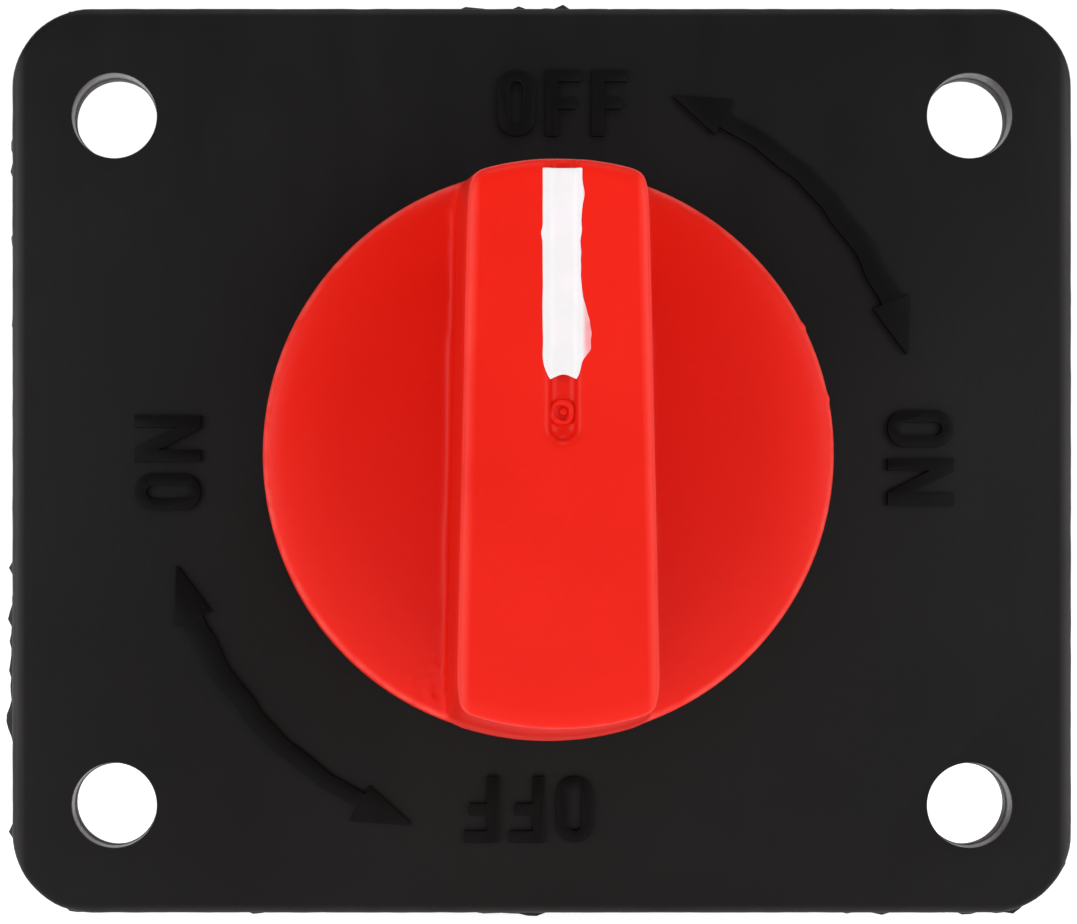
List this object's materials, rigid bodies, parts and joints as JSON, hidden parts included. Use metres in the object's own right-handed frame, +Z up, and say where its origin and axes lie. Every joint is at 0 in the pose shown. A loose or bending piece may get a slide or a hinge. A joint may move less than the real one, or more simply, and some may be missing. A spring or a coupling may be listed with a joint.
{
  "type": "battery switch",
  "caption": "Panel-mounted rotary battery isolator: a rectangular plate with a red pointer knob in front and a round contact housing with threaded terminal studs behind.",
  "frame": {"origin": "centre of the four mounting holes, on the plate's rear face, where it meets the panel", "axes": "+Z up towards the OFF position, the front faces -Y, +Y runs along the knob's axis into the panel, +X to the right seen from the front"},
  "size_m": [0.08, 0.086, 0.0684],
  "materials": {
    "black_plate": "glass-filled nylon, satin, moulded",
    "black_housing": "glass-filled nylon, matt",
    "black_rubber": "nitrile, matt",
    "zinc_steel": "bright zinc plated",
    "plated_steel": "turned, zinc plated",
    "hard_steel": "hardened and ground",
    "spring_steel": "drawn stainless wire",
    "brass": "turned brass",
    "natural_acetal": "moulded acetal, natural",
    "red_nylon": "semi-gloss moulded nylon, red",
    "white_paint": "filled-in enamel, white",
    "brown_phenolic": "moulded phenolic, brown",
    "copper": "rolled copper",
    "silver_contact": "silver alloy contact face",
    "tinned_copper": "tin-plated copper"
  },
  "bodies": {
    "housing": {"face_plate": "black_plate", "case_seal": "black_rubber", "body_shell": "black_housing", "case_screws": "zinc_steel", "shaft_bush": "brass", "shaft_seal": "black_rubber", "thrust_washer": "natural_acetal", "detent_springs": "spring_steel", "line_stud": "tinned_copper", "load_stud": "tinned_copper", "fixed_contacts": "silver_contact", "terminal_washers": "zinc_steel", "terminal_spring_washers": "zinc_steel", "terminal_nuts": "zinc_steel"},
    "knob": {"knob": "red_nylon", "pointer_fill": "white_paint", "knob_insert": "brass", "knob_set_screw": "hard_steel", "drive_shaft": "plated_steel", "detent_disc": "natural_acetal", "cross_pin": "hard_steel"},
    "contact_slide": {"contact_carrier": "brown_phenolic", "contact_bridge": "copper", "bridge_tips": "silver_contact", "contact_springs": "spring_steel", "bridge_screw": "brass", "bridge_washer": "brass"},
    "detent": {"detent_balls": "hard_steel"}
  },
  "joints": [
    {"name": "knob_turn", "type": "hinge", "parent": "housing", "child": "knob", "pos_m": [0, 0, 0], "axis": [0, 1, 0], "range_deg": [0, 90]},
    {"name": "contact_travel", "type": "slide", "parent": "housing", "child": "contact_slide", "axis": [0, 1, 0], "range_m": [0, 0.0031]},
    {"name": "detent_click", "type": "slide", "parent": "housing", "child": "detent", "axis": [0, 1, 0], "range_m": [0, 0.00045], "stiffness_N_per_m": 2000, "springref_m": 0.002, "deforming": ["detent_springs"]}
  ],
  "couplings": [
    {"joint": "contact_travel", "follows": "knob_turn", "m_per_rad": 0.0019099}
  ]
}
